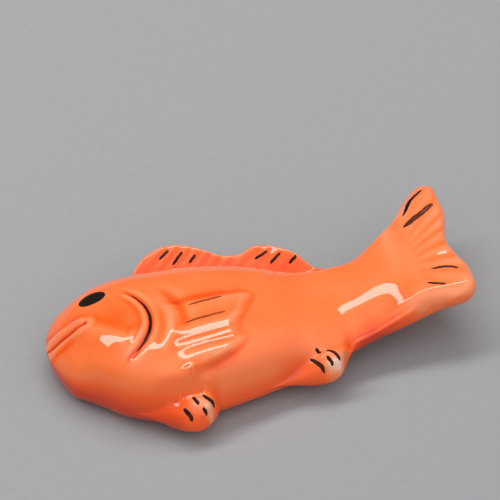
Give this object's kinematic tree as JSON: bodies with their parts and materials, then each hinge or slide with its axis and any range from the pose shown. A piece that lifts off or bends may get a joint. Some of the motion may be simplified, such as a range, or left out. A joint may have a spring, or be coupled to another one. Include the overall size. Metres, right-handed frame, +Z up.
{
  "type": "chopstick rest",
  "caption": "Glazed porcelain fish lying on its side; chopsticks lie across the saddle between its trunk and raised tail fan",
  "frame": {"origin": "centre of the bounding box's footprint, on the table plane that the flat foot stands on", "axes": "+X from snout to tail, the longest extent; +Y towards the dorsal fins; +Z up, the shortest extent"},
  "size_m": [0.068, 0.0382, 0.0133],
  "materials": {
    "orange_glaze": "glossy fired glaze over porcelain",
    "black_enamel": "thin brushed overglaze enamel"
  },
  "bodies": {
    "root": {"fish_body": "orange_glaze", "eye_enamel": "black_enamel", "gill_line_enamel": "black_enamel", "front_dorsal_fin_strokes": "black_enamel", "rear_dorsal_fin_strokes": "black_enamel", "pectoral_fin_strokes": "black_enamel", "pelvic_fin_strokes": "black_enamel", "anal_fin_strokes": "black_enamel", "tail_fin_strokes": "black_enamel"}
  },
  "joints": []
}
